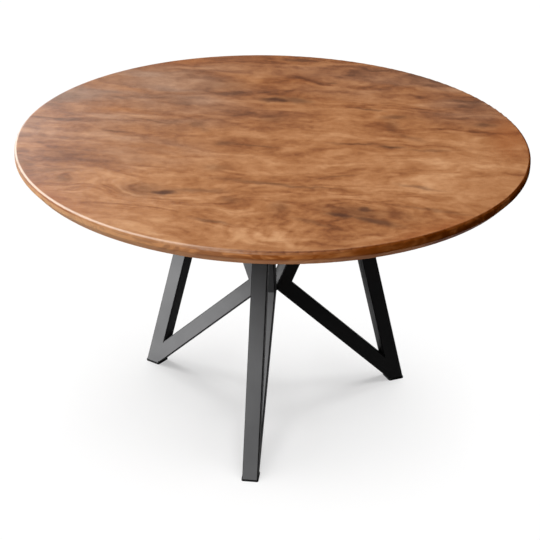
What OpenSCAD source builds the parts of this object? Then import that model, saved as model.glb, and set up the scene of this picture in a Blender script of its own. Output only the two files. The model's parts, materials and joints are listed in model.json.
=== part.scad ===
/* [Tabletop] */
// Diameter of the round top
top_d = 1300; // [1100:10:1800]
// Thickness of the top
top_t = 40; // [36:1:60]
// Radius of the rounding along the upper edge
edge_round = 6; // [2:1:10]
// Height of the bevel cut back under the edge
bevel_h = 22; // [8:1:26]
// Distance that the bevel runs in under the edge
bevel_w = 20; // [8:1:60]
// Radius that softens both corners of the bevel
bevel_round = 3; // [1:0.5:4]

/* [Stand] */
// Height of the top surface above the floor
table_h = 760; // [700:5:1100]
// Distance from the table's axis to the middle of each foot
foot_r = 383; // [320:1:480]
// Distance from the axis to the middle of each post's upper end
head_r = 195; // [150:1:280]
// Height of the corner where the three leg frames meet
hub_z = 351; // [280:1:420]
// Distance from the axis to that corner of each frame
hub_r = 7.5; // [2:0.5:8]
// Side of the square tube
tube = 40; // [32:1:50]
// Wall of the square tube
wall = 2; // [1.5:0.5:4]
// Outside corner radius of the square tube
tube_corner = 3; // [2:0.5:6]
// Radius of the weld bead in each valley of the hub
bead_r = 4; // [2:0.5:6]
// Length of each hub weld bead
bead_l = 12; // [6:1:20]

/* [Foot glides] */
// Thickness of the glide under each foot
glide_t = 5; // [3:0.5:12]
// Distance that the glide stands out past the tube all round
glide_rim = 1.5; // [0.5:0.5:3]
// Length of the plug that holds the glide in the post
plug_l = 28; // [15:1:60]
// Gap round the plug inside the post
plug_fit = 0.2; // [0.1:0.1:0.6]

/* [Mounting plates] */
// Length of each plate, across its leg
plate_l = 140; // [130:1:200]
// Width of each plate, along its leg
plate_w = 84; // [76:1:120]
// Thickness of each plate
plate_t = 5; // [3:0.5:10]
// Corner radius of each plate
plate_corner = 10; // [4:1:18]
// Distance between the bolt rows, across the leg
bolt_span_l = 104; // [90:1:112]
// Distance between the bolts of one row, along the leg
bolt_span_w = 48; // [36:1:56]

/* [Bolts and inserts] */
// Diameter of the bolts' shanks
bolt_d = 8; // [6:0.5:9]
// Length of each bolt under its head
bolt_l = 25; // [18:1:30]
// Diameter of the domed bolt heads
head_d = 14; // [12:0.5:16]
// Height of the domed bolt heads
head_h = 4.4; // [3.6:0.2:6]
// Width across the flats of the key socket
key_w = 5; // [4:0.5:6]
// Depth of the key socket
key_depth = 2.6; // [1.5:0.1:3]
// Clearance round each bolt in its plate and washer
bolt_fit = 0.5; // [0.2:0.1:1]
// Clearance round each bolt in its insert
thread_fit = 0.1; // [0.05:0.05:0.3]
// Outside diameter of the washers
washer_d = 18; // [16:0.5:22]
// Thickness of the washers
washer_t = 1.6; // [1:0.1:3]
// Outside diameter of the threaded inserts
insert_d = 13; // [11:0.5:15]
// Length of the threaded inserts
insert_l = 18; // [10:1:25]
// Wood left empty above each insert
insert_relief = 2; // [1:0.5:5]

/* [Stiffeners] */
// Length of each stiffener channel
channel_l = 800; // [600:10:860]
// Width of each channel
channel_w = 40; // [30:1:60]
// Height of each channel
channel_h = 12; // [8:1:16]
// Sheet thickness of the channels
channel_wall = 3; // [2:0.5:4]
// Outside corner radius of the channels
channel_corner = 4; // [3:0.5:6]
// Distance from the table's axis to the middle of each channel
channel_x = 330; // [300:5:380]
// Gap between each channel and the sides of its groove
channel_fit = 0.5; // [0.2:0.1:2]
// Number of screws in each channel
screw_n = 5; // [3:1:7]
// Distance between neighbouring screws
screw_pitch = 120; // [60:5:125]
// Width of the long hole for each screw
slot_w = 7; // [6.6:0.1:9]
// Length of the long hole for each screw
slot_l = 16; // [10:1:24]
// Diameter of the screws
screw_d = 6; // [4:0.5:6]
// Length of each screw under its head
screw_l = 22; // [12:1:24]
// Diameter of the screw heads
screw_head_d = 12; // [10:0.5:14]
// Height of the screw heads
screw_head_h = 3.6; // [2.8:0.2:5]
// Clearance round each screw in the wood
screw_fit = 0.1; // [0.05:0.05:0.3]

/* [Hidden] */
$fn = 64;
// Azimuth of each leg, seen from above
FRONT = -90;
RIGHT = 30;
LEFT = 150;
LEGS = [FRONT, RIGHT, LEFT];
// Half the angle that each frame fills at the hub
HUB_HALF = 60;
// Longer than any piece, for cutting
FAR = 3000;
// A hair, for cuts that run clear of a face
CLEAR = 1;
// Share of the tube's corner radius that a seam weld fills, short of feather edges
SEAM_FILL = 0.85;

top_r = top_d / 2;
under_z = table_h - top_t;
foot_z = glide_t;
head_z = under_z - plate_t;
lean = atan((foot_r - head_r) / (head_z - foot_z));
post_flat = tube / cos(lean);
foot_in = [foot_r - post_flat / 2, foot_z];
head_in = [head_r - post_flat / 2, head_z];
hub = [hub_r, hub_z];
strut_dir = atan2(foot_in.y - hub.y, foot_in.x - hub.x);
brace_dir = atan2(head_in.y - hub.y, head_in.x - hub.x);
mitre_dir = (strut_dir + brace_dir) / 2;
// Where the strut's lower side and the brace's upper side meet the post, measured
// up the post from its lower end
foot_low = tube / 2 * tan(lean);
head_high = foot_low + norm([foot_r - head_r, head_z - foot_z]);
valley_r = tube / 2 / sin(HUB_HALF);
valley_in = tube / 2 / tan(HUB_HALF);
// Middle of the short stretch where neighbouring frames touch
bead_z = hub_z + (valley_in - hub_r) * (tan(strut_dir) + tan(brace_dir)) / 2;
inner_corner = max(tube_corner - wall, 0.5);
bore = tube - 2 * wall;
insert_hole = max(insert_l, bolt_l - washer_t - plate_t) + insert_relief;
groove_z = under_z + channel_h;
screw_hole = screw_l - channel_wall + CLEAR;

function unit(v) = v / norm(v);
function half_angle(a, p, b) = acos(unit(a - p) * unit(b - p)) / 2;
// Where the arc of radius r that rounds corner p leaves the side towards q
function tangent(p, q, r, half) = p + unit(q - p) * r / tan(half);
function corner_points(a, p, b, r) = let (h = half_angle(a, p, b))
    r == 0 ? [p] : [tangent(p, a, r, h), tangent(p, b, r, h)];
function corner_centre(a, p, b, r) =
    p + unit(unit(a - p) + unit(b - p)) * r / sin(half_angle(a, p, b));
function rectangle(w, h) = [[-w, -h], [w, -h], [w, h], [-w, h]] / 2;

// A convex outline whose corners are true arcs, with one radius for each
module rounded_outline(points, radii) {
    n = len(points);
    polygon([for (i = [0 : n - 1])
        each corner_points(points[(i + n - 1) % n], points[i], points[(i + 1) % n], radii[i])]);
    for (i = [0 : n - 1])
        if (radii[i] > 0)
            translate(corner_centre(points[(i + n - 1) % n], points[i], points[(i + 1) % n], radii[i]))
                circle(radii[i]);
}

module rounded_rectangle(w, h, r) {
    rounded_outline(rectangle(w, h), [r, r, r, r]);
}

module tube_section() {
    difference() {
        rounded_rectangle(tube, tube, tube_corner);
        rounded_rectangle(bore, bore, inner_corner);
    }
}

// Carries its children along direction a in the leg's own plane, from point p,
// with their middle set off sideways by shift
module along(p, a, shift, back, forward) {
    translate([p.x, 0, p.y])
        rotate([0, 90 - a, 0])
            translate([shift, 0, -back])
                linear_extrude(back + forward) children();
}

// Everything beyond the plane through p that faces direction a in the leg's plane
module beyond(p, a) {
    translate([p.x, 0, p.y])
        rotate([0, -a, 0])
            translate([0, -FAR / 2, -FAR / 2]) cube(FAR);
}

// The third of a circle that one frame may fill round the table's axis
module hub_sector() {
    linear_extrude(table_h)
        polygon([[0, 0], FAR * [1, -tan(HUB_HALF)], FAR * [1, tan(HUB_HALF)]]);
}

module place_bolts() {
    for (leg = LEGS, u = [-1, 1], v = [-1, 1])
        rotate(leg)
            translate([head_r + u * bolt_span_w / 2, v * bolt_span_l / 2, under_z]) children();
}

module place_screws() {
    for (side = [-1, 1], i = [0 : screw_n - 1])
        translate([side * channel_x, (i - (screw_n - 1) / 2) * screw_pitch, groove_z]) children();
}

module top_outline() {
    outline = [[0, 0], [top_r - bevel_w, 0], [top_r, bevel_h], [top_r, top_t], [0, top_t]];
    rounded_outline(outline, [0, bevel_round, bevel_round, edge_round, 0]);
}

module channel_groove() {
    translate([0, 0, -CLEAR])
        linear_extrude(channel_h + CLEAR)
            square([channel_w, channel_l] + 2 * channel_fit * [1, 1], center = true);
}

// The slab: rounded above, bevelled under its edge, grooved and bored from below
module tabletop() {
    color([0.62, 0.38, 0.22])
    difference() {
        translate([0, 0, under_z]) rotate_extrude($fn = 180) top_outline();
        for (side = [-1, 1])
            translate([side * channel_x, 0, under_z]) channel_groove();
        place_bolts() translate([0, 0, -CLEAR]) cylinder(d = insert_d, h = insert_hole + CLEAR);
        place_screws() translate([0, 0, -CLEAR])
            cylinder(d = screw_d + 2 * screw_fit, h = screw_hole + CLEAR);
    }
}

// A channel that lies open side down in its groove, with a long hole at each screw
module stiffener(x) {
    color([0.15, 0.15, 0.16])
    translate([x, channel_l / 2, groove_z - channel_h])
        rotate([90, 0, 0])
            difference() {
                linear_extrude(channel_l) channel_section();
                for (i = [0 : screw_n - 1])
                    translate([0, 0, channel_l / 2 + (i - (screw_n - 1) / 2) * screw_pitch])
                        rotate([-90, 0, 0]) linear_extrude(channel_h + CLEAR) slot_outline();
            }
}

module channel_section() {
    inside_r = max(channel_corner - channel_wall, 0.5);
    difference() {
        rounded_outline([[-channel_w / 2, 0], [channel_w / 2, 0],
            [channel_w / 2, channel_h], [-channel_w / 2, channel_h]],
            [0, 0, channel_corner, channel_corner]);
        rounded_outline([[channel_wall - channel_w / 2, -CLEAR], [channel_w / 2 - channel_wall, -CLEAR],
            [channel_w / 2 - channel_wall, channel_h - channel_wall],
            [channel_wall - channel_w / 2, channel_h - channel_wall]],
            [0, 0, inside_r, inside_r]);
    }
}

module slot_outline() {
    straight = slot_l - slot_w;
    square([slot_w, straight], center = true);
    for (end = [-1, 1])
        translate([0, end * straight / 2]) circle(d = slot_w);
}

module stiffener_screws() {
    color([0.55, 0.56, 0.58])
    place_screws() translate([0, 0, -channel_wall]) screw();
}

// A pan-head screw that points up, with the underside of its head at zero
module screw() {
    tip = screw_d;
    cylinder(d = screw_d, h = screw_l - tip);
    translate([0, 0, screw_l - tip]) cylinder(d1 = screw_d, d2 = screw_d / 4, h = tip);
    difference() {
        rotate_extrude() rotate(-90) half_dome(screw_head_h, screw_head_d);
        translate([0, 0, -screw_head_h - CLEAR]) cylinder(d = screw_d / 2, h = screw_head_h * 0.6 + CLEAR, $fn = 6);
    }
}

// Half the section of a domed head of height h and diameter d, laid along +X
module half_dome(h, d) {
    ball_r = (h * h + d * d / 4) / (2 * h);
    intersection() {
        square([h, d / 2]);
        translate([h - ball_r, 0]) circle(ball_r, $fn = 128);
    }
}

// The outer tube of a leg, cut level at the glide and at its plate
module post(leg) {
    color([0.13, 0.13, 0.14])
    rotate(leg)
        difference() {
            along([foot_r, foot_z], 90 + lean, 0, tube, table_h + tube) tube_section();
            beyond([foot_r, foot_z], -90);
            beyond([head_r, head_z], 90);
        }
}

// The rising tube from the foot of the post to the hub
module strut(leg) {
    color([0.15, 0.15, 0.16])
    rotate(leg)
        intersection() {
            difference() {
                along(hub, strut_dir, -tube / 2, tube * 2, table_h) tube_section();
                beyond(foot_in, lean);
                beyond(hub, mitre_dir + 90);
            }
            hub_sector();
        }
}

// The tube from the hub out to the head of the post
module brace(leg) {
    color([0.14, 0.14, 0.15])
    rotate(leg)
        intersection() {
            difference() {
                along(hub, brace_dir, tube / 2, tube * 2, table_h) tube_section();
                beyond(head_in, lean);
                beyond(hub, mitre_dir - 90);
            }
            hub_sector();
        }
}

// A bead in each valley between the side faces of two neighbouring frames
module hub_welds() {
    color([0.12, 0.12, 0.13])
    for (leg = LEGS)
        rotate(leg + HUB_HALF)
            translate([valley_r, 0, bead_z - bead_l / 2])
                linear_extrude(bead_l)
                    intersection() {
                        circle(bead_r);
                        polygon([[0, 0], bead_r * [2, -2 * tan(HUB_HALF)], bead_r * [2, 2 * tan(HUB_HALF)]]);
                    }
}

// The weld that fills the groove between a tube's square end and a round corner
// of the post, ground flush with the post's side
module seam_section(side) {
    fill = SEAM_FILL * tube_corner;
    difference() {
        translate([0, side > 0 ? -fill : 0]) square(fill);
        translate([tube_corner, -side * tube_corner]) circle(tube_corner);
    }
}

// Both seams of a tube that meets the post's inner face from height low to height
// high up the post, less the tube's own round corners, which slant by slope
module seams(low, high, slope) {
    gap = tube_corner / cos(slope);
    for (side = [-1, 1])
        translate([foot_r, 0, foot_z])
            rotate([0, -lean, 0])
                translate([-tube / 2, side * tube / 2, low + gap])
                    linear_extrude(high - low - 2 * gap) seam_section(side);
}

module seam_welds() {
    color([0.12, 0.12, 0.13])
    for (leg = LEGS)
        rotate(leg) {
            seams(foot_low, foot_low + tube / cos(lean - strut_dir), lean - strut_dir);
            seams(head_high - tube / cos(brace_dir - lean), head_high, brace_dir - lean);
        }
}

module plate(leg) {
    color([0.12, 0.12, 0.13])
    difference() {
        rotate(leg)
            translate([head_r, 0, head_z])
                linear_extrude(plate_t) rounded_rectangle(plate_w, plate_l, plate_corner);
        place_bolts() translate([0, 0, -plate_t - CLEAR])
            cylinder(d = bolt_d + 2 * bolt_fit, h = plate_t + 2 * CLEAR);
    }
}

// A domed socket bolt that points up, with the underside of its head at zero
module bolt() {
    cylinder(d = bolt_d, h = bolt_l);
    difference() {
        rotate_extrude() rotate(-90) half_dome(head_h, head_d);
        translate([0, 0, -head_h - CLEAR])
            cylinder(d = key_w / cos(30), h = key_depth + CLEAR, $fn = 6);
    }
}

module plate_bolts() {
    color([0.20, 0.20, 0.21])
    place_bolts() translate([0, 0, -plate_t - washer_t]) bolt();
}

module plate_washers() {
    color([0.24, 0.24, 0.25])
    place_bolts() translate([0, 0, -plate_t - washer_t])
        difference() {
            cylinder(d = washer_d, h = washer_t);
            translate([0, 0, -CLEAR])
                cylinder(d = bolt_d + 2 * bolt_fit, h = washer_t + 2 * CLEAR);
        }
}

module threaded_inserts() {
    color([0.72, 0.60, 0.32])
    place_bolts()
        difference() {
            cylinder(d = insert_d, h = insert_l);
            translate([0, 0, -CLEAR])
                cylinder(d = bolt_d + 2 * thread_fit, h = insert_l + 2 * CLEAR);
        }
}

// The pad under a foot, with the plug that holds it in the post
module glide(leg) {
    plug = bore - 2 * plug_fit;
    color([0.05, 0.05, 0.05])
    rotate(leg) {
        translate([foot_r, 0, 0])
            linear_extrude(glide_t)
                rounded_rectangle(post_flat + 2 * glide_rim, tube + 2 * glide_rim, tube_corner + glide_rim);
        difference() {
            along([foot_r, foot_z], 90 + lean, 0, tube, plug_l)
                rounded_rectangle(plug, plug, inner_corner);
            beyond([foot_r, foot_z], -90);
        }
    }
}

tabletop();
stiffener(-channel_x);  // left_stiffener
stiffener(channel_x);  // right_stiffener
stiffener_screws();
post(FRONT);  // front_post
post(RIGHT);  // right_post
post(LEFT);  // left_post
strut(FRONT);  // front_strut
strut(RIGHT);  // right_strut
strut(LEFT);  // left_strut
brace(FRONT);  // front_brace
brace(RIGHT);  // right_brace
brace(LEFT);  // left_brace
hub_welds();
seam_welds();
plate(FRONT);  // front_plate
plate(RIGHT);  // right_plate
plate(LEFT);  // left_plate
plate_bolts();
plate_washers();
threaded_inserts();
glide(FRONT);  // front_glide
glide(RIGHT);  // right_glide
glide(LEFT);  // left_glide
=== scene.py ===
# %% [markdown]
# # A round dining table
# The real table has a thick round top of solid wood, oiled to a satin finish, on three
# leg frames of square steel tube under a black powder coat. The frames meet in a hub.
# The construction arrives as a packed model with one object per piece, each in its true
# place, so this lesson adds what a photographer would see: wood grain, coated steel, a
# floor, soft light and a camera.

# %% Load the packed model
import json
import math
from types import SimpleNamespace

import bpy
from mathutils import Matrix, Vector

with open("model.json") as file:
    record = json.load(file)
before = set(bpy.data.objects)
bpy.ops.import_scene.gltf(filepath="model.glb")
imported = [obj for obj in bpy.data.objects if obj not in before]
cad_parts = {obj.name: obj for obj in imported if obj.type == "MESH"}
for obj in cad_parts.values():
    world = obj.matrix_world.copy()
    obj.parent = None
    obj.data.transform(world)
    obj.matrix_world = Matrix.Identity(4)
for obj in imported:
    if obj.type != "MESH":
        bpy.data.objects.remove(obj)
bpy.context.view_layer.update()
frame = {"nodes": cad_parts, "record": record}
nodes = frame["nodes"]

# %% [markdown]
# ## Camera
# A product shot is taken from a few metres away with a long lens, which keeps the round
# top from stretching. The camera could be aimed by a constraint, but here its place and
# turn are plain numbers: how far it stands, how high, how far it looks down, and a
# slight roll, as a hand-held camera has.

# %% Place the camera
CAMERA_AZIMUTH = math.radians(5.53)
CAMERA_DISTANCE = 4.469
CAMERA_HEIGHT = 2.5856
CAMERA_DOWN = math.radians(26.09)
CAMERA_ROLL = math.radians(1.28)
LENS_MM = 126.75
SENSOR_MM = 36

camera_data = bpy.data.cameras.new("camera")
camera_data.lens = LENS_MM
camera_data.sensor_width = SENSOR_MM
camera_data.clip_end = 100
camera = bpy.data.objects.new("camera", camera_data)
bpy.context.scene.collection.objects.link(camera)
turn = (Matrix.Rotation(CAMERA_AZIMUTH, 4, "Z")
        @ Matrix.Rotation(math.pi / 2 - CAMERA_DOWN, 4, "X")
        @ Matrix.Rotation(CAMERA_ROLL, 4, "Z"))
place = Matrix.Rotation(CAMERA_AZIMUTH, 4, "Z") @ Vector((0, -CAMERA_DISTANCE, CAMERA_HEIGHT))
camera.matrix_world = Matrix.Translation(place) @ turn
bpy.context.scene.camera = camera
print("camera at", [round(v, 3) for v in camera.matrix_world.translation])

# %% [markdown]
# ## A recipe book for materials
# A material is a small factory of nodes. Wiring each node by hand takes many lines, so a
# helper class adds a node, fills its sockets with numbers or wires, and hands back its
# output. It is built up in three layers, and every finish below is written with it, as a
# short recipe. The first layer adds nodes and does sums.

# %% First layer: nodes and sums
class Wiring:
    """A material, or the world, under construction. A value given to a socket may be a
    number, a tuple, or another node's output, which is then wired in."""

    def __init__(self, block):
        self.block = block
        block.use_nodes = True
        self.tree = block.node_tree
        self.tree.nodes.clear()

    def node(self, kind, inputs, output=0, **settings):
        """A new node. Hands back the output asked for, or the node itself for None."""
        made = self.tree.nodes.new("ShaderNode" + kind)
        for name, value in settings.items():
            setattr(made, name, value)
        for name, value in inputs.items():
            if isinstance(value, bpy.types.NodeSocket):
                self.tree.links.new(value, made.inputs[name])
            else:
                made.inputs[name].default_value = value
        return made if output is None else made.outputs[output]

    def math(self, operation, *values):
        """One operation carried through a row of numbers and wires."""
        total = values[0]
        for value in values[1:]:
            total = self.node("Math", {0: total, 1: value}, operation=operation)
        return total

    def add(self, *values):
        return self.math("ADD", *values)

    def product(self, *values):
        return self.math("MULTIPLY", *values)

    def most(self, *values):
        return self.math("MAXIMUM", *values)

    def scaled(self, value, factor, start=0.0):
        """value times factor, plus start."""
        return self.node("Math", {0: value, 1: factor, 2: start}, operation="MULTIPLY_ADD")

    def rise(self, value, start, full, low=0.0, high=1.0, soft=False):
        """low until the value gets to start, high once it gets to full, and a straight
        line or a soft curve between them."""
        return self.node("MapRange", {"Value": value, "From Min": start, "From Max": full,
                                      "To Min": low, "To Max": high},
                         interpolation_type="SMOOTHSTEP" if soft else "LINEAR")

    def finish(self, shader, kind="OutputMaterial"):
        """Wire a shader to the output and hand back the finished block."""
        self.node(kind, {"Surface": shader}, None)
        return self.block


print("first layer:", sorted(name for name in vars(Wiring) if name[0] != "_"))

# %% [markdown]
# The second layer works with places. A pattern that is a function of the place in the
# table's own frame is solid: it runs through a piece as grain runs through wood, and it
# needs no picture and no unwrapping. Noise and soft ovals are enough for this table.

# %% Second layer: patterns in space
class Patterns(Wiring):
    """Wiring that also makes solid patterns."""

    def place(self):
        """Where a point lies in the table's own frame, in metres."""
        return self.node("TexCoord", {}, "Object")

    def parts(self, vector):
        """The X, Y and Z of a vector."""
        return self.node("SeparateXYZ", {0: vector}, None).outputs

    def level(self, vector):
        """The vector with its Z taken away."""
        return self.node("VectorMath", {0: vector, 1: (1, 1, 0)}, operation="MULTIPLY")

    def length(self, vector):
        return self.node("VectorMath", {0: vector}, "Value", operation="LENGTH")

    def dot(self, a, b):
        """How far one vector reaches along another, times that one's length."""
        return self.node("VectorMath", {0: a, 1: b}, "Value", operation="DOT_PRODUCT")

    def shaped(self, vector, size, at=(0, 0, 0), turned=0.0):
        """The vector seen from a frame that lies at a point, is turned about Z by some
        degrees, and whose unit along each axis is that axis's size in metres."""
        return self.node("Mapping", {"Vector": vector, "Location": at, "Scale": size,
                                     "Rotation": (0, 0, math.radians(turned))},
                         vector_type="TEXTURE")

    def noise(self, vector, detail=2.0, roughness=0.5, distortion=0.0):
        """Soft random values around zero, one bump per unit of the vector."""
        return self.node("TexNoise", {"Vector": vector, "Scale": 1.0, "Detail": detail,
                                      "Roughness": roughness, "Distortion": distortion},
                         "Fac", normalize=False)

    def drift(self, vector, size, amount, detail=2.0):
        """The vector pushed about by soft noise: size of the swirls and amount in metres."""
        noise = self.node("TexNoise", {"Vector": self.shaped(vector, (size,) * 3),
                                       "Scale": 1.0, "Detail": detail}, "Color")
        centred = self.node("VectorMath", {0: noise, 1: (0.5,) * 3}, operation="SUBTRACT")
        return self.node("VectorMath", {0: centred, 1: (amount,) * 3, 2: vector},
                         operation="MULTIPLY_ADD")

    def spot(self, vector, at, size, turned=0.0, sharpness=1.0):
        """1 at a point and fading to 0 about one size away: e to the power of minus the
        squared distance, itself raised to a sharpness for a harder edge."""
        flat = self.level(self.shaped(vector, (*size, 1.0), (*at, 0.0), turned))
        squared = self.dot(flat, flat)
        if sharpness != 1.0:
            squared = self.math("POWER", squared, sharpness)
        return self.node("Math", {0: self.product(squared, -1.0)}, operation="EXPONENT")


print("second layer:", sorted(name for name in vars(Patterns) if name[0] != "_"))

# %% [markdown]
# The third layer turns values into looks: colours from a ramp, blends of two colours,
# and bumps, which tilt the surface's shading without moving a point.

# %% Third layer: colours and relief
MIX_FACTOR, MIX_A, MIX_B, MIX_COLOUR = 0, 6, 7, 2  # sockets of a mix node set to colour


class Recipe(Patterns):
    """Patterns that also become colours, relief and a finished surface."""

    def ramp(self, value, stops):
        """Colours picked along a line: stops are (position, (r, g, b))."""
        output = self.node("ValToRGB", {"Fac": value})
        elements = output.node.color_ramp.elements
        while len(elements) < len(stops):
            elements.new(1.0)
        for element, (position, colour) in zip(elements, stops):
            element.position = position
            element.color = (*colour, 1.0)
        return output

    def mix(self, factor, a, b):
        """Two colours blended by a factor from 0 to 1."""
        a, b = ((*colour, 1.0) if isinstance(colour, tuple) else colour for colour in (a, b))
        return self.node("Mix", {MIX_FACTOR: factor, MIX_A: a, MIX_B: b}, MIX_COLOUR,
                         data_type="RGBA")

    def bump(self, height, depth, under=None):
        """A normal that follows a height of 0 to 1 times a depth in metres."""
        inputs = {"Height": height, "Distance": depth, "Strength": 1.0}
        if under is not None:
            inputs["Normal"] = under
        return self.node("Bump", inputs)

    def surface(self, **inputs):
        """The usual shader. Names use underscores for spaces: Base_Color, Roughness."""
        named = {name.replace("_", " "): value for name, value in inputs.items()}
        return self.finish(self.node("BsdfPrincipled", named))


def material_recipe(name):
    return Recipe(bpy.data.materials.new(name))


print("third layer:", sorted(name for name in vars(Recipe) if name[0] != "_"))

# %% [markdown]
# ## Floor
# The table stands on a plain white studio floor that keeps only the table's soft shade.
# A curved paper sweep would do the same, but the camera looks down and never sees a
# horizon. Seen directly or in a reflection the floor is white. To light that bounces off
# it, it is a dark grey, which keeps the black steel from filling with light from below.
# Part of its white is light of its own: less under the table, so that the shade there
# stays deep, and more around it, where the floor is clean white. From below the floor is
# clear, and a view from under the table shows its underside.

# %% Lay the floor
FLOOR_HALF = 30.0
FLOOR_WHITE = (0.97, 0.97, 0.97)
FLOOR_WORN = (0.93, 0.93, 0.93)
FLOOR_BOUNCE = (0.06, 0.06, 0.06)
FLOOR_CLOUDS = 0.4
GLOW_UNDER, GLOW_AROUND = 0.45, 0.92
SHADE_CORE, SHADE_REACH = 0.30, 0.85  # metres from the axis

floor_mesh = bpy.data.meshes.new("floor")
floor_mesh.from_pydata([(x * FLOOR_HALF, y * FLOOR_HALF, 0.0)
                        for x, y in ((-1, -1), (1, -1), (1, 1), (-1, 1))], [], [(0, 1, 2, 3)])
floor = bpy.data.objects.new("floor", floor_mesh)
bpy.context.scene.collection.objects.link(floor)


def floor_paint():
    """Matt white paint with a share of plain white light, which grows from GLOW_UNDER to
    GLOW_AROUND between SHADE_CORE and SHADE_REACH."""
    recipe = material_recipe("floor_paint")
    place = recipe.place()
    rays = recipe.node("LightPath", {}, None).outputs
    seen = recipe.most(rays["Is Glossy Ray"], rays["Is Transmission Ray"], rays["Is Camera Ray"])
    cloud = recipe.noise(recipe.shaped(place, (FLOOR_CLOUDS,) * 3))
    white = recipe.mix(recipe.scaled(cloud, 0.02, 0.01), FLOOR_WHITE, FLOOR_WORN)
    matt = recipe.node("BsdfDiffuse", {"Color": recipe.mix(seen, FLOOR_BOUNCE, white)})
    glow = recipe.node("Emission", {"Color": (1, 1, 1, 1), "Strength": 1.0})
    share = recipe.rise(recipe.length(place), SHADE_CORE, SHADE_REACH,
                        GLOW_UNDER, GLOW_AROUND, soft=True)
    lit = recipe.node("MixShader", {"Fac": recipe.product(seen, share), 1: matt, 2: glow})
    below = recipe.node("NewGeometry", {}, "Backfacing")
    clear = recipe.node("BsdfTransparent", {})
    return recipe.finish(recipe.node("MixShader", {"Fac": below, 1: lit, 2: clear}))


floor_mesh.materials.append(floor_paint())
print("floor", 2 * FLOOR_HALF, "m square")

# %% [markdown]
# ## Light
# The room is a plain studio. Its sky is bright overhead and dim near the horizon, and a
# little brighter on the left. A picture of a room would work too, but a sky of three
# numbers keeps every value in the open.

# %% Set the sky
SKY_HIGH = 0.30
SKY_SIDE = 0.09
SKY_START = 0.40  # how steeply up the bright part begins, as the height of a unit vector


def studio_sky():
    """Bright overhead, fading to a low side light that grows from right to left."""
    recipe = Recipe(bpy.data.worlds.new("studio"))
    way = recipe.parts(recipe.node("TexCoord", {}, "Generated"))
    side = recipe.scaled(way["X"], -SKY_SIDE, SKY_SIDE)
    strength = recipe.scaled(recipe.rise(way["Z"], SKY_START, 1.0, soft=True), SKY_HIGH, side)
    sky = recipe.node("Background", {"Color": (1, 1, 1, 1), "Strength": strength})
    return recipe.finish(sky, "OutputWorld")


bpy.context.scene.world = studio_sky()
print("sky from", SKY_SIDE, "at the sides to", SKY_SIDE + SKY_HIGH, "overhead")

# %% [markdown]
# Most of the light comes from lamps. A softbox high on the left reaches the legs, so
# their left faces turn grey while the right ones stay black. Three weaker boxes serve the
# wood: one behind its left shoulder lays a pale sheen there, one on the left draws the
# bright line along the rim, and one low in front lights the edge and the bevel. The rest
# is even light from straight above. It comes from suns with a wide disc, because a wide
# disc gives a soft shade.

# %% Hang the lamps
def hang(name, kind, energy):
    """A lamp of a kind and an energy, without a place."""
    data = bpy.data.lights.new(name, kind)
    data.energy = energy
    lamp = bpy.data.objects.new(name, data)
    bpy.context.scene.collection.objects.link(lamp)
    return lamp


def softbox(name, at, target, width, height, radiance):
    """A flat lamp that faces a target. Its power follows from how bright its face looks:
    radiance times its area times pi, so a bigger box gives more light, not a duller face."""
    lamp = hang(name, "AREA", radiance * width * height * math.pi)
    lamp.data.shape = "RECTANGLE"
    lamp.data.size = width
    lamp.data.size_y = height
    lamp.location = at
    lamp.rotation_euler = (Vector(target) - Vector(at)).to_track_quat("-Z", "Y").to_euler()
    lamp.visible_camera = False
    return lamp


def overhead(name, strength, spread):
    """Even light from straight above: its strength on a level face and the width in
    degrees of the patch of ceiling that it comes from."""
    lamp = hang(name, "SUN", strength)
    lamp.data.angle = math.radians(spread)
    lamp.location = (0, 0, 5)
    return lamp


LEG_LAMP = softbox("leg_lamp", (-3.4, -1.27, 2.40), (-0.1, 0.0, 0.30), 1.8, 1.8, 92.0)
SHEEN_LAMP = softbox("sheen_lamp", (-1.9, 2.8, 1.75), (-0.4, 0.1, 0.76), 1.4, 1.5, 3.0)
RIM_LAMP = softbox("rim_lamp", (-3.2, 0.7, 1.25), (-0.5, -0.2, 0.76), 3.0, 1.1, 11.0)
RIM_LAMP.visible_glossy = False  # or, seen from the right, its image would lie on the top
FRONT_LAMP = softbox("front_lamp", (-0.8, -3.6, 0.50), (0.0, -0.5, 0.74), 2.0, 0.8, 12.0)
TOP_SUN = overhead("top_sun", 2.60, 75)
FLOOR_SUN = overhead("floor_sun", 1.00, 75)
FOOT_SUN = overhead("foot_sun", 2.40, 36)
print("lamps:", len(bpy.data.lights))

# %% [markdown]
# In a real studio, flags between a lamp and the set keep its light off what it should
# not reach. Light linking does the same: each lamp gets a list of the things it lights.
# Two suns light only the floor. The wide one draws the soft shade of the whole table. The
# narrower one draws the closer shade of the feet: it gets a list of what blocks it too,
# with the steel alone, so that the wide top doesn't darken the floor twice.

# %% Link each lamp to what it lights
slot_of = {part["node"]: part["material_slot"] for part in frame["record"]["subparts"]}
wooden = [piece for name, piece in nodes.items() if slot_of[name] == "top_wood"]
metallic = [piece for name, piece in nodes.items() if slot_of[name] != "top_wood"]


def group_of(name, things):
    """A collection that holds some objects, as light linking wants them."""
    group = bpy.data.collections.new(name)
    for thing in things:
        group.objects.link(thing)
    return group


for lamp, reached in ((LEG_LAMP, metallic), (SHEEN_LAMP, wooden), (RIM_LAMP, wooden),
                      (FRONT_LAMP, wooden), (TOP_SUN, wooden), (FLOOR_SUN, [floor]),
                      (FOOT_SUN, [floor])):
    lamp.light_linking.receiver_collection = group_of(lamp.name + "_reach", reached)
    print(lamp.name, "lights", len(reached))
FOOT_SUN.light_linking.blocker_collection = group_of("steel_shade", metallic)

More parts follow.
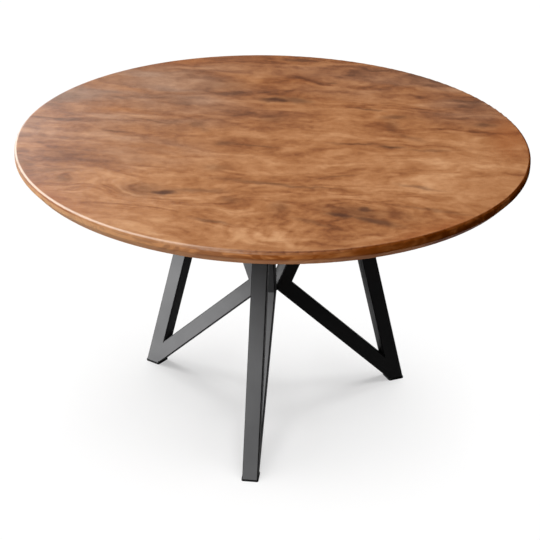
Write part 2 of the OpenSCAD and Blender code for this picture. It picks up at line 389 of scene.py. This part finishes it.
# %% [markdown]
# ## Wood
# The top is one broad slab of walnut-brown tropical hardwood. Its grain runs from left to
# right, flows round two big knots near the front and carries long streaks on the right.
# A picture of wood would slide off the bevel. So the grain is a solid: every point in
# the slab has a colour, and the edge shows the same lines that the face shows, cut
# through.
#
# The trick is one number, the grain height: a point's distance from front to back, bent
# round each knot as growing wood bends. Lines of equal grain height are the grain lines.
# Noise that is long in X and short in grain height then gives streaks that flow.

# %% Where the grain bends
# Each bend: centre X and Y, reach along and across the grain, in metres, and strength.
# At a strength near 1 the lines part widely and close up again beyond the knot.
BENDS = [
    (0.235, -0.41, 0.20, 0.085, 0.85),
    (0.01, 0.295, 0.13, 0.050, 0.75),
    (0.305, 0.19, 0.10, 0.080, 0.80),
    (0.38, -0.235, 0.13, 0.045, 0.75),
    (-0.20, 0.08, 0.08, 0.060, 0.60),
    (-0.12, -0.03, 0.12, 0.050, 0.60),
    (-0.475, -0.29, 0.10, 0.060, 0.70),
    (0.53, 0.20, 0.10, 0.060, 0.60),
    (-0.17, 0.40, 0.16, 0.070, 0.50),
]
# Each sag: centre X and Y, reach along and across, and how far lines dip to the front.
SAGS = [
    (0.10, -0.58, 0.30, 0.16, 0.130),
    (0.02, -0.20, 0.26, 0.13, 0.080),
    (0.55, -0.36, 0.20, 0.12, 0.050),
    (0.50, -0.05, 0.30, 0.20, -0.060),
    (-0.45, 0.05, 0.25, 0.20, 0.020),
]
# Each fold: X of its tip, Y of its axis, length of the tip, half width and height of the
# ridge, and the length over which it fades to the right.
FOLDS = [
    (-0.42, -0.365, 0.16, 0.075, 0.115, 0.50),
]
ENDLESS = 100.0  # a reach in metres that no end of the slab comes near
SWELL_SIZE, SWELL = (0.50, 0.20, 0.30), 0.050
RIPPLE_SIZE, RIPPLE = (0.13, 0.07, 0.08), 0.024


def grain_height(recipe, place):
    """Distance from front to back, with two slow waves, less what each bend takes, plus
    what each sag and fold gives."""
    x, y = recipe.parts(place)[:2]
    swell = recipe.noise(recipe.shaped(place, SWELL_SIZE), 1.0)
    ripple = recipe.noise(recipe.shaped(place, RIPPLE_SIZE), 1.0)
    height = recipe.add(y, recipe.scaled(swell, SWELL), recipe.scaled(ripple, RIPPLE))
    for middle, centre, along, across, strength in BENDS:
        near = recipe.spot(place, (middle, centre), (along, across))
        offset = recipe.math("SUBTRACT", y, centre)
        taken = recipe.product(recipe.scaled(offset, strength), near)
        height = recipe.math("SUBTRACT", height, taken)
    for middle, centre, along, across, dip in SAGS:
        near = recipe.spot(place, (middle, centre), (along, across))
        height = recipe.scaled(near, dip, height)
    for tip, axis, blunt, across, ridge, fade in FOLDS:
        near = recipe.spot(place, (0.0, axis), (ENDLESS, across))
        grown = recipe.rise(x, tip, tip + blunt, soft=True)
        faded = recipe.rise(x, tip + fade, tip + blunt, soft=True)
        height = recipe.scaled(recipe.product(grown, faded, near), ridge, height)
    return height


print(len(BENDS), "bends,", len(SAGS), "sags,", len(FOLDS), "folds")

# %% [markdown]
# Dark knots and smears lie where branches were. Each is a soft oval with a ragged edge,
# some with a hard core. Pale streaks are the same thing in the other direction. Noise
# alone would put them anywhere, so they are placed one by one, as a painter would do it.

# %% Knots and streaks
# X, Y, half length, half width in metres, turn in degrees, and depth from 0 to 1.
STAINS = [
    (-0.020, 0.292, 0.050, 0.018, 4, 1.00), (0.030, 0.298, 0.044, 0.024, -12, 0.70),
    (0.015, 0.612, 0.050, 0.010, 2, 0.80), (0.245, 0.562, 0.045, 0.009, 12, 0.75),
    (0.385, 0.468, 0.030, 0.012, -8, 0.50), (0.500, 0.350, 0.055, 0.014, -20, 0.45),
    (0.115, 0.442, 0.018, 0.009, 0, 0.50), (0.535, 0.195, 0.026, 0.014, 10, 0.65),
    (0.225, 0.262, 0.045, 0.006, -10, 0.60), (0.300, 0.216, 0.034, 0.018, 20, 0.60),
    (0.298, 0.150, 0.018, 0.045, 5, 0.35), (0.345, 0.080, 0.048, 0.012, -28, 0.30),
    (0.300, 0.008, 0.030, 0.009, 6, 0.85), (0.215, 0.016, 0.070, 0.006, 7, 0.50),
    (0.400, 0.002, 0.060, 0.007, 8, 0.40), (-0.022, 0.160, 0.026, 0.032, -30, 0.35),
    (-0.208, 0.088, 0.022, 0.020, 0, 0.45), (-0.182, 0.050, 0.022, 0.010, -42, 0.35),
    (-0.120, -0.030, 0.028, 0.016, 20, 0.55), (-0.050, -0.036, 0.080, 0.006, -2, 0.45),
    (-0.170, 0.380, 0.060, 0.045, 0, 0.30), (-0.225, -0.358, 0.034, 0.014, 8, 0.98),
    (-0.275, -0.350, 0.055, 0.042, 0, 0.42), (-0.150, -0.335, 0.080, 0.012, 5, 0.42),
    (-0.475, -0.312, 0.024, 0.018, -25, 0.50), (-0.590, -0.232, 0.022, 0.016, 0, 0.45),
    (-0.500, -0.262, 0.055, 0.014, 8, 0.40), (-0.500, -0.165, 0.060, 0.050, 0, 0.28),
    (0.020, -0.268, 0.120, 0.010, -5, 0.50), (0.130, -0.275, 0.070, 0.006, 6, 0.40),
    (0.203, -0.424, 0.036, 0.015, -8, 1.00), (0.280, -0.445, 0.060, 0.016, -20, 0.85),
    (0.258, -0.386, 0.018, 0.014, -20, 0.90), (0.235, -0.405, 0.075, 0.036, -12, 0.48),
    (0.058, -0.400, 0.024, 0.040, 0, 0.30), (0.330, -0.400, 0.050, 0.030, -20, 0.25),
    (-0.062, -0.378, 0.026, 0.020, 0, 0.35), (0.380, -0.236, 0.050, 0.010, -12, 0.50),
    (-0.090, -0.503, 0.045, 0.009, -14, 0.55), (0.150, -0.480, 0.060, 0.010, -24, 0.35),
    (-0.120, -0.190, 0.035, 0.020, 5, 0.30), (-0.600, 0.072, 0.040, 0.007, 3, 0.40),
    (-0.405, 0.003, 0.035, 0.006, 4, 0.40), (-0.330, 0.094, 0.060, 0.006, -14, 0.40),
    (0.175, -0.200, 0.050, 0.005, 24, 0.35), (0.420, -0.365, 0.110, 0.008, -10, 0.35),
]
LIGHTS = [
    (-0.535, -0.028, 0.140, 0.014, -2, 1.00), (-0.425, 0.310, 0.030, 0.007, 4, 0.45),
    (-0.330, 0.236, 0.070, 0.012, 8, 0.40), (-0.270, -0.262, 0.110, 0.012, 14, 0.45),
    (0.020, -0.115, 0.060, 0.020, 0, 0.35), (0.280, -0.308, 0.040, 0.012, -8, 0.50),
    (0.070, -0.540, 0.022, 0.045, 10, 0.45), (-0.020, -0.590, 0.022, 0.040, -14, 0.40),
    (0.400, 0.100, 0.020, 0.024, 0, 0.30), (-0.130, 0.240, 0.030, 0.022, 0, 0.25),
    (-0.390, -0.330, 0.030, 0.030, 0, 0.25), (0.540, -0.180, 0.030, 0.020, -20, 0.30),
    (-0.330, -0.420, 0.080, 0.008, -24, 0.35), (0.145, -0.330, 0.020, 0.010, 0, 0.35),
    (-0.385, -0.300, 0.060, 0.012, 38, 0.40), (-0.190, -0.460, 0.080, 0.009, -22, 0.35),
    (0.330, -0.315, 0.060, 0.010, -14, 0.35), (0.460, -0.350, 0.080, 0.009, -14, 0.35),
    (0.500, -0.240, 0.120, 0.060, 0, 0.22), (0.000, -0.530, 0.160, 0.050, 0, 0.25),
    (-0.300, -0.420, 0.120, 0.060, -20, 0.18),
]
SPOT_EDGE = 1.3


def spots(recipe, place, listed):
    """The strongest of many ovals at each point."""
    total = 0.0
    for x, y, along, across, turned, depth in listed:
        near = recipe.spot(place, (x, y), (along, across), turned, SPOT_EDGE)
        total = recipe.most(recipe.scaled(near, depth), total)
    return total


print(len(STAINS), "dark marks,", len(LIGHTS), "pale marks")

# %% [markdown]
# The figure between the knots is a sum of noises: broad bands, blotches, streaks and fine
# lines that flow with the grain, and a mottle and specks that don't. One noise could
# not do it, because real wood changes at every scale. Some are stronger in a region of
# the slab: long lines on the right, strands round the two big knots, feathers in front.

# %% The noises and their regions
# What each noise reads, its size along X, Y and Z in metres, how much detail, how rough,
# how distorted, and its turn in degrees.
NOISES = {
    "broad": ("flow", (0.30, 0.075, 0.10), 1.0, 0.5, 0.6, 0),
    "blotch": ("flow", (0.082, 0.039, 0.05), 1.0, 0.5, 0.7, 0),
    "streak": ("flow", (0.075, 0.014, 0.02), 2.0, 0.5, 0.7, 0),
    "line": ("flow", (0.030, 0.0042, 0.006), 2.0, 0.5, 0.5, 0),
    "speck": ("place", (0.014, 0.014, 0.014), 3.0, 0.6, 0.0, 0),
    "mottle": ("place", (0.026, 0.022, 0.02), 2.0, 0.5, 0.5, 0),
    "strand": ("flow", (0.26, 0.012, 0.03), 1.0, 0.5, 0.3, 0),
    "feather": ("place", (0.030, 0.100, 0.05), 2.0, 0.5, 0.9, -18),
    "fibre": ("flow", (0.016, 0.0008, 0.0008), 2.0, 0.6, 0.0, 0),
    "cloud": ("flow", (0.25, 0.10, 0.2), 2.0, 0.5, 0.0, 0),
}
# The ovals of each region: X, Y, reach along and across the grain, in metres.
REGIONS = {
    "lively": [(0.22, -0.45, 0.50, 0.28)],
    "quiet": [(-0.45, 0.35, 0.55, 0.45)],
    "lined": [(0.52, -0.02, 0.30, 0.14)],
    "ringed": [(-0.25, -0.36, 0.26, 0.13), (0.25, -0.41, 0.26, 0.12)],
    "feathered": [(0.03, -0.54, 0.17, 0.09)],
}
GRAIN_SEED = 2.96  # shifts the noise in Z, which is like cutting the slab elsewhere


def wood_noises(recipe, place):
    """Every noise by its name. Flow is the place with the grain height for its Y."""
    x, _, z = recipe.parts(place)
    read = {"place": place,
            "flow": recipe.node("CombineXYZ", {"X": x, "Y": grain_height(recipe, place),
                                               "Z": recipe.add(z, GRAIN_SEED)})}
    return SimpleNamespace(**{
        name: recipe.noise(recipe.shaped(read[source], size, turned=turned),
                           detail, rough, distorted)
        for name, (source, size, detail, rough, distorted, turned) in NOISES.items()})


def wood_regions(recipe, place):
    """How far a point is inside each region, from 0 to 1."""
    return {name: recipe.most(*(recipe.spot(place, (x, y), (along, across))
                                for x, y, along, across in ovals))
            for name, ovals in REGIONS.items()}


print(len(NOISES), "noises,", len(REGIONS), "regions")

# %% [markdown]
# The sum gives one number, the tone: 0 is the darkest brown and 1 a pale tan. Broad
# shades lift or lower whole regions, partly the wood's own sapwood and heartwood, partly
# painted light, shade and sheen. The top grows darker to the back: painted shade.

# %% The tone of the wood
# How much each noise adds everywhere, and how much more at the middle of a region.
FIGURE = {
    "broad": (0.32, None, 0.0), "blotch": (0.34, None, 0.0),
    "streak": (0.02, "lined", 0.10), "line": (0.01, "lined", 0.06),
    "speck": (0.08, None, 0.0), "mottle": (0.16, None, 0.0),
    "strand": (0.02, "ringed", 0.21), "feather": (0.0, "feathered", 0.30),
}
CONTRAST, CONTRAST_LIVELY, CONTRAST_QUIET = 0.88, 0.28, -0.02
# The middle tone, and a painted shade that darkens the top towards the back
TONE_MIDDLE, SHADE_TO_BACK = 0.485, -0.23
FIBRE_TONE, PALE_TONE = 0.05, 0.32
# The shades are partly wood tone and partly painted light and sheen. Each: X, Y, reach
# along and across, turn in degrees, and what it adds to the tone.
TONE_AND_LIGHT_SHADES = [
    (-0.30, -0.30, 0.08, 0.06, 0, 0.22), (0.50, -0.02, 0.16, 0.09, 0, 0.20),
    (-0.30, -0.42, 0.20, 0.10, 0, 0.07), (0.34, -0.47, 0.16, 0.06, 10, -0.15),
    (0.45, -0.10, 0.13, 0.07, 0, 0.37), (-0.18, 0.11, 0.12, 0.08, 0, -0.12),
    (0.12, 0.00, 0.08, 0.12, 0, 0.20), (0.09, -0.40, 0.05, 0.06, 0, -0.30),
    (0.36, -0.41, 0.12, 0.05, 0, -0.17), (-0.25, -0.24, 0.14, 0.07, 0, 0.10),
    (0.08, -0.57, 0.10, 0.06, 0, 0.24), (-0.12, -0.58, 0.07, 0.05, 0, -0.10),
    (-0.36, 0.40, 0.16, 0.15, 0, 0.10), (0.40, 0.16, 0.11, 0.07, 0, 0.17),
    (0.50, 0.27, 0.10, 0.12, 0, -0.26), (0.22, 0.52, 0.20, 0.07, 0, -0.15),
    (-0.08, -0.12, 0.16, 0.05, 0, 0.12), (0.32, -0.24, 0.10, 0.07, 0, 0.26),
    (-0.42, 0.03, 0.12, 0.06, 0, 0.20), (-0.57, -0.18, 0.08, 0.14, 0, -0.22),
    (-0.58, 0.14, 0.08, 0.12, 0, -0.22), (-0.48, -0.31, 0.10, 0.05, 0, -0.31),
    (-0.36, -0.12, 0.11, 0.04, 0, -0.10), (0.20, -0.58, 0.09, 0.05, 0, -0.18),
    (-0.27, -0.53, 0.13, 0.06, 0, 0.20), (0.05, 0.61, 0.13, 0.04, 0, -0.17),
    (0.34, 0.01, 0.08, 0.06, 0, -0.08), (-0.30, -0.31, 0.10, 0.06, 0, 0.06),
    (0.16, -0.27, 0.18, 0.07, 0, 0.07),
]


def wood_tone(recipe, place, grain, pale):
    """The figure times its contrast, a painted shade from front to back, the shades of wood
    tone and painted light, the fibres and the pale marks, all added up."""
    regions = wood_regions(recipe, place)
    layers = []
    for name, (even, region, more) in FIGURE.items():
        amount = recipe.scaled(regions[region], more, even) if region else even
        layers.append(recipe.product(getattr(grain, name), amount))
    contrast = recipe.scaled(regions["lively"], CONTRAST_LIVELY,
                             recipe.scaled(regions["quiet"], CONTRAST_QUIET, CONTRAST))
    # Shades of the wood's own tone and of painted light and sheen
    shade = recipe.add(*(recipe.scaled(recipe.spot(place, (x, y), (along, across), turned), added)
                         for x, y, along, across, turned, added in TONE_AND_LIGHT_SHADES))
    # Painted shade: the top darker towards the back
    back_shade = recipe.scaled(recipe.parts(place)["Y"], SHADE_TO_BACK, TONE_MIDDLE)
    return recipe.add(recipe.product(recipe.add(*layers), contrast), back_shade, shade,
                      recipe.scaled(grain.fibre, FIBRE_TONE), recipe.scaled(pale, PALE_TONE))


print(len(FIGURE), "layers,", len(TONE_AND_LIGHT_SHADES), "shades")

# %% [markdown]
# A ramp turns the tone into a brown. Wood is not one hue from dark to light, so a second
# ramp with greyer browns takes over at the back left and in a few other places. On the
# left its pale grey is a painted sheen; elsewhere it is the wood's own tone. A few ovals
# are russet. Two ramps and a blend are easier to steer than one ramp with many stops.

# %% The browns of the wood
WOOD_BROWNS = [
    (0.00, (0.125, 0.035, 0.009)),
    (0.20, (0.240, 0.079, 0.022)),
    (0.40, (0.352, 0.140, 0.047)),
    (0.60, (0.435, 0.194, 0.077)),
    (0.80, (0.530, 0.264, 0.120)),
    (1.00, (0.590, 0.318, 0.158)),
]
# Greyer browns: on the left a painted sheen, elsewhere the wood's own tone
SHEEN_AND_SMOKE_GREYS = [
    (0.00, (0.175, 0.090, 0.052)),
    (0.40, (0.300, 0.166, 0.104)),
    (0.80, (0.470, 0.290, 0.190)),
    (1.00, (0.540, 0.345, 0.230)),
]
RAMP_SHARE = 0.8  # where on the ramps a tone of 1 lies, with room for paler marks
SHEEN_AND_SMOKE_EVEN, SHEEN_AND_SMOKE_CLOUDY = 0.62, 0.7
# Where the greyer browns lie; the spots on the left paint a sheen
SHEEN_AND_GREY_SPOTS = [
    (-0.48, 0.32, 0.38, 0.42, 0, 1.0), (0.50, 0.30, 0.14, 0.12, 0, 0.6),
    (0.25, 0.48, 0.34, 0.13, 0, 0.6), (-0.20, 0.08, 0.16, 0.10, 0, 0.35),
    (-0.33, -0.10, 0.17, 0.11, 0, 0.9),
]
RUSSET = (0.330, 0.098, 0.022)
RUSSET_SPOTS = [
    (-0.50, -0.41, 0.14, 0.035, -40, 0.5), (0.44, -0.49, 0.18, 0.050, 40, 0.6),
    (0.60, 0.12, 0.05, 0.14, 0, 0.5), (-0.30, 0.58, 0.30, 0.06, 26, 0.3),
]


def wood_brown(recipe, place, grain, tone):
    """A brown from the tone, greyer in some places and russet in a few. On the left the
    greyer brown is a painted sheen.
    """
    depth = recipe.scaled(tone, RAMP_SHARE)
    # The greyer browns, which on the left are painted sheen
    sheen_and_smoke = recipe.product(recipe.scaled(grain.cloud, SHEEN_AND_SMOKE_CLOUDY, SHEEN_AND_SMOKE_EVEN),
                           spots(recipe, place, SHEEN_AND_GREY_SPOTS))
    sheened_and_smoked = recipe.mix(sheen_and_smoke, recipe.ramp(depth, WOOD_BROWNS), recipe.ramp(depth, SHEEN_AND_SMOKE_GREYS))
    return recipe.mix(spots(recipe, place, RUSSET_SPOTS), sheened_and_smoked, RUSSET)


print(len(WOOD_BROWNS), "browns,", len(SHEEN_AND_SMOKE_GREYS), "greyer browns")

# %% [markdown]
# The rim has colours of its own. On the left its round carries a painted highlight, and
# its side is painted paler where the light falls on it. On the right the round and the
# side carry painted shade. The upright side is amber with brown grain, and the bevel is
# painted a paler rose for the floor's reflection in it. A rim of its own material would
# show a seam, so the one recipe blends these in with masks that read how far out, how
# high and on which side a point lies.

# %% The rim
# Each mask reads one measure and goes from 0 to 1 between two values of it, in metres.
RIM_MASKS = {
    "rounded": ("reach", 0.6435, 0.6460),
    "upper": ("z", 0.7560, 0.7580),
    "side": ("z", 0.7535, 0.7510),
    "bevelled": ("z", 0.740, 0.732),
    "frontwards": ("y", 0.12, -0.10),
    "leftwards": ("x", 0.05, -0.45),
    "rightwards": ("x", -0.05, 0.30),
    "right_half": ("x", -0.12, 0.06),
    "far_right": ("x", 0.15, 0.50),
}
# Painted highlight on the round at the left
RIM_HIGHLIGHT = (0.820, 0.660, 0.540)
RIM_AMBER = (0.540, 0.205, 0.060)
# Brown of the side's grain, and of the painted shade on the right round
RIM_GRAIN_AND_SHADE_BROWN = (0.240, 0.058, 0.006)
# Painted light on the rim's side at the left
RIM_LIT_TAN = (0.620, 0.420, 0.250)
# Painted reflection of the white floor in the bevel
RIM_FLOOR_REFLECTION = (0.480, 0.235, 0.130)
# Painted shade on the right of the rim
SHADE_BROWN = (0.095, 0.019, 0.001)
# How strongly each change shows at its fullest
HIGHLIGHT_LINE, LIT_LEFT, BEVEL_REFLECTION, AMBER_SIDE, RIGHT_SHADE, SHADED_LIP = 0.75, 0.6, 0.6, 0.80, 0.75, 0.75
# The grain on the side, and how evenly the painted shade on the right lies
RIM_GRAIN, RIM_GRAIN_EVEN, SHADE_EVEN = 2.2, 0.35, 0.95


def rim_masks(recipe, place):
    """Every mask by its name."""
    x, y, z = recipe.parts(place)
    read = {"x": x, "y": y, "z": z, "reach": recipe.length(recipe.level(place))}
    return SimpleNamespace(**{name: recipe.rise(read[source], start, full)
                              for name, (source, start, full) in RIM_MASKS.items()})


def rim_brown(recipe, inner, grain, on):
    """The wood's own brown, changed step by step where each mask is on: the amber side and its
    grain, and painted highlight, light, reflection and shade.
    """
    # A painted highlight along the upper round on the left, towards the front
    painted_highlight = recipe.product(on.rounded, on.upper, on.leftwards, on.frontwards)
    highlighted = recipe.mix(recipe.scaled(painted_highlight, HIGHLIGHT_LINE), inner, RIM_HIGHLIGHT)
    grained = recipe.mix(recipe.scaled(grain.streak, RIM_GRAIN, RIM_GRAIN_EVEN),
                         RIM_AMBER, RIM_GRAIN_AND_SHADE_BROWN)
    # Painted light: the side is paler on the left, where the light falls on it
    lit_left = recipe.mix(recipe.scaled(on.leftwards, LIT_LEFT), grained, RIM_LIT_TAN)
    # Painted reflection of the floor, paler and rosier, on the bevel
    side_with_reflection = recipe.mix(recipe.scaled(on.bevelled, BEVEL_REFLECTION), lit_left, RIM_FLOOR_REFLECTION)
    sided = recipe.mix(recipe.scaled(on.side, AMBER_SIDE), highlighted, side_with_reflection)
    # Painted shade on the round at the right, blotchy with the grain
    shade_blotches = recipe.add(grain.blotch, SHADE_EVEN)
    shaded_round = recipe.product(on.rounded, shade_blotches, recipe.scaled(on.rightwards, RIGHT_SHADE))
    right_shaded = recipe.mix(shaded_round, sided, RIM_GRAIN_AND_SHADE_BROWN)
    # Painted shade on the upper round of the right half, and at the far right on the round and
    # side
    shaded_lip = recipe.product(on.rounded, on.upper, recipe.scaled(on.right_half, SHADED_LIP))
    far_shade = recipe.product(on.far_right, shade_blotches, recipe.most(on.rounded, on.side))
    return recipe.mix(recipe.most(far_shade, shaded_lip), right_shaded, SHADE_BROWN)


print(len(RIM_MASKS), "masks on the rim")

# %% [markdown]
# Last come the dark marks, on top of everything, with ragged edges from a little drift.
# The same fine lines that colour the wood lower its surface by a hair and change its
# gloss, because open pores soak up more oil. The rim's side and its round on the right
# are duller still, as end grain is.

# %% Put the wood together
KNOT_BROWN = (0.085, 0.026, 0.008)
RAGGED = 0.030
ROUGH, ROUGH_LINE, ROUGH_KNOT, ROUGH_SIDE = 0.34, 0.06, 0.10, 0.30
SPECULAR, SPECULAR_MEAN, DULL_SIDE = 0.30, 0.2, 0.80
LINE_DEPTH, FIBRE_DEPTH = 0.00008, 0.00005


def oiled_wood():
    """The solid wood, with its knots, its changing gloss and its open pores."""
    recipe = material_recipe("oiled_wood")
    place = recipe.place()
    grain = wood_noises(recipe, place)
    ragged = recipe.drift(place, RAGGED, RAGGED, 3.0)
    dark, pale = spots(recipe, ragged, STAINS), spots(recipe, ragged, LIGHTS)
    inner = wood_brown(recipe, place, grain, wood_tone(recipe, place, grain, pale))
    on = rim_masks(recipe, place)
    colour = recipe.mix(dark, rim_brown(recipe, inner, grain, on), KNOT_BROWN)
    rough = recipe.add(ROUGH, recipe.scaled(grain.line, ROUGH_LINE),
                       recipe.scaled(dark, ROUGH_KNOT), recipe.scaled(on.side, ROUGH_SIDE))
    dull = recipe.most(recipe.scaled(on.side, DULL_SIDE),
                       recipe.product(on.rounded, on.rightwards))
    relief = recipe.bump(grain.fibre, FIBRE_DEPTH, recipe.bump(grain.line, LINE_DEPTH))
    shader = recipe.node("BsdfPrincipled", {"Base Color": colour, "Roughness": rough,
                                            "Normal": relief,
                                            "Specular IOR Level": SPECULAR_MEAN})
    # The wire wins in a render; an export that drops it keeps the plain mean
    recipe.tree.links.new(recipe.scaled(dull, -SPECULAR, SPECULAR),
                          shader.node.inputs["Specular IOR Level"])
    return recipe.finish(shader)


wood = oiled_wood()
print("wood nodes:", len(wood.node_tree.nodes))

# %% [markdown]
# ## Steel and the small parts
# Powder coat is a baked plastic skin. It is never quite even: it carries a faint orange
# peel, and its black is a little lighter where it lies thin. Along the round corners of
# the tubes the light slides off it, so each corner gets a fine line of painted shade. A
# line could be drawn by distance to an edge, but the way a point faces already tells:
# square to the side of its leg, square to its edge, or on the corner between them.

# %% The coat
LEG_TURNS = (-90, 30, 150)
# The black of the painted shade along the tube corners
CORNER_SHADE = (0.004, 0.004, 0.004)
COAT_CLOUDS, PEEL_SIZE, GRIT_SIZE = 0.09, 0.0022, 0.0007
PEEL_DEPTH, GRIT_DEPTH = 0.00008, 0.00002
COAT_SPECULAR = 0.008
THIN_EVEN, THIN_CLOUDS, THIN_GRIT, ROUGH_SPREAD = 0.5, 0.6, 0.2, 0.05


def tube_corners(recipe, place):
    """1 along the round corners of each leg's tube and 0 on its flat faces. With c for
    how squarely a point faces its leg's side, that is 4 c^2 (1 - c^2). A point belongs to
    the leg whose direction is within 60 degrees of its own."""
    facing = recipe.node("NewGeometry", {}, "Normal")
    level = recipe.level(place)
    half_reach = recipe.product(recipe.length(level), 0.5)
    total = 0.0
    for degrees in LEG_TURNS:
        c, s = math.cos(math.radians(degrees)), math.sin(math.radians(degrees))
        along, beside = recipe.dot(level, (c, s, 0)), recipe.dot(facing, (-s, c, 0))
        square = recipe.product(beside, beside)
        corner = recipe.product(square, recipe.scaled(square, -4.0, 4.0))
        mine = recipe.math("GREATER_THAN", along, half_reach)
        total = recipe.most(total, recipe.product(corner, mine))
    return total


def powder_coat(name, black, thin, rough, shaded_corners=False):
    """A coat between two blacks, cloudy, with orange peel and a fine grit, and with painted
    shade along the tube corners where asked.
    """
    recipe = material_recipe(name)
    place = recipe.place()
    cloud = recipe.noise(recipe.shaped(place, (COAT_CLOUDS,) * 3), 2.0)
    peel = recipe.noise(recipe.shaped(place, (PEEL_SIZE,) * 3), 2.0)
    grit = recipe.noise(recipe.shaped(place, (GRIT_SIZE,) * 3), 1.0)
    thinness = recipe.add(THIN_EVEN, recipe.scaled(cloud, THIN_CLOUDS),
                          recipe.scaled(grit, THIN_GRIT))
    colour = recipe.mix(thinness, black, thin)
    if shaded_corners:
        # Painted shade: a fine dark line along each round corner of the tubes
        colour = recipe.mix(tube_corners(recipe, place), colour, CORNER_SHADE)
    roughness = recipe.add(rough, recipe.scaled(cloud, ROUGH_SPREAD),
                           recipe.scaled(grit, ROUGH_SPREAD))
    relief = recipe.bump(grit, GRIT_DEPTH, recipe.bump(peel, PEEL_DEPTH))
    return recipe.surface(Base_Color=colour, Roughness=roughness, Normal=relief,
                          Specular_IOR_Level=COAT_SPECULAR)


FINISHES = {
    "top_wood": wood,
    "frame_steel": powder_coat("frame_coat", (0.056, 0.056, 0.057), (0.068, 0.068, 0.069),
                               0.50, shaded_corners=True),
    "channel_steel": powder_coat("channel_coat", (0.045, 0.045, 0.048), (0.060, 0.060, 0.064),
                                 0.62),
    "glide_plastic": powder_coat("moulded_pad", (0.006, 0.006, 0.006), (0.010, 0.010, 0.010),
                                 0.62),
}
print("wood and coats:", [finish.name for finish in FINISHES.values()])

# %% [markdown]
# The fasteners hide under the top. Bolts and washers are black oxide, screws are
# zinc-plated and inserts are turned brass. All are turned on a lathe or rolled, so one
# recipe gives them fine lines round their axis, a given pitch apart, and cloudy wear.

# %% The small metals
WEAR_CLOUDS, LINE_LENGTH, TURNING_DEPTH = 0.006, 0.02, 0.00004
WORN_EVEN, WORN_CLOUDS, ROUGH_CLOUDS, ROUGH_LINES = 0.4, 0.8, 0.12, 0.06


def turned_metal(name, colour, worn, rough, metallic, pitch):
    """A metal with fine turning lines every pitch metres and cloudy wear."""
    recipe = material_recipe(name)
    place = recipe.place()
    cloud = recipe.noise(recipe.shaped(place, (WEAR_CLOUDS,) * 3), 3.0)
    lines = recipe.noise(recipe.shaped(place, (LINE_LENGTH, LINE_LENGTH, pitch)), 2.0)
    tint = recipe.mix(recipe.scaled(cloud, WORN_CLOUDS, WORN_EVEN), colour, worn)
    roughness = recipe.add(rough, recipe.scaled(cloud, ROUGH_CLOUDS),
                           recipe.scaled(lines, ROUGH_LINES))
    return recipe.surface(Base_Color=tint, Metallic=metallic, Roughness=roughness,
                          Normal=recipe.bump(lines, TURNING_DEPTH))


FINISHES["bolt_steel"] = turned_metal(
    "black_oxide", (0.030, 0.030, 0.033), (0.075, 0.070, 0.068), 0.42, 0.7, 0.0006)
FINISHES["screw_steel"] = turned_metal(
    "bright_zinc", (0.60, 0.61, 0.62), (0.42, 0.42, 0.40), 0.30, 1.0, 0.0006)
FINISHES["insert_brass"] = turned_metal(
    "turned_brass", (0.72, 0.52, 0.24), (0.50, 0.34, 0.14), 0.30, 1.0, 0.0008)
for name, piece in nodes.items():
    piece.data.materials[0] = FINISHES[slot_of[name]]
print("finishes:", sorted(FINISHES))

# %% [markdown]
# ## Rounded shading on the packed meshes
# The packed meshes are loose flat triangles, so a round rim would show its facets. Their
# points must stay, so nothing in a mesh is edited. A small node group merges the corners
# and shades across each soft edge, and a second modifier lets large flat faces keep
# their true direction.

# %% Smooth by angle
CREASE = math.radians(32)
MERGE_REACH = 0.000005


def smoothing_group():
    """Merge equal points, then shade every edge smooth that turns less than CREASE."""
    group = bpy.data.node_groups.new("smooth_by_angle", "GeometryNodeTree")
    group.interface.new_socket("Geometry", in_out="INPUT", socket_type="NodeSocketGeometry")
    group.interface.new_socket("Geometry", in_out="OUTPUT", socket_type="NodeSocketGeometry")
    new, link = group.nodes.new, group.links.new
    start, end = new("NodeGroupInput"), new("NodeGroupOutput")
    bare = new("GeometryNodeRemoveAttribute")
    bare.inputs["Name"].default_value = "custom_normal"
    merged = new("GeometryNodeMergeByDistance")
    merged.inputs["Distance"].default_value = MERGE_REACH
    faces = new("GeometryNodeSetShadeSmooth")
    faces.domain = "FACE"
    faces.inputs["Shade Smooth"].default_value = True
    edges = new("GeometryNodeSetShadeSmooth")
    edges.domain = "EDGE"
    edges.inputs["Shade Smooth"].default_value = False
    angle = new("GeometryNodeInputMeshEdgeAngle")
    sharp = new("FunctionNodeCompare")
    sharp.operation = "GREATER_THAN"
    sharp.inputs["B"].default_value = CREASE
    link(angle.outputs["Unsigned Angle"], sharp.inputs["A"])
    link(sharp.outputs[0], edges.inputs["Selection"])
    link(start.outputs[0], bare.inputs["Geometry"])
    link(bare.outputs["Geometry"], merged.inputs["Geometry"])
    link(merged.outputs["Geometry"], faces.inputs["Geometry"])
    link(faces.outputs["Geometry"], edges.inputs["Geometry"])
    link(edges.outputs["Geometry"], end.inputs[0])
    return group


SMOOTHING = smoothing_group()
for piece in nodes.values():
    piece.modifiers.new("smooth", "NODES").node_group = SMOOTHING
    weighted = piece.modifiers.new("weighted", "WEIGHTED_NORMAL")
    weighted.mode = "FACE_AREA"
    weighted.keep_sharp = True
print("smoothed", len(nodes), "pieces")

# %% [markdown]
# ## Finish
# The picture is seen through the plain Standard view transform.

# %% Set the view transform
bpy.context.scene.view_settings.view_transform = "Standard"
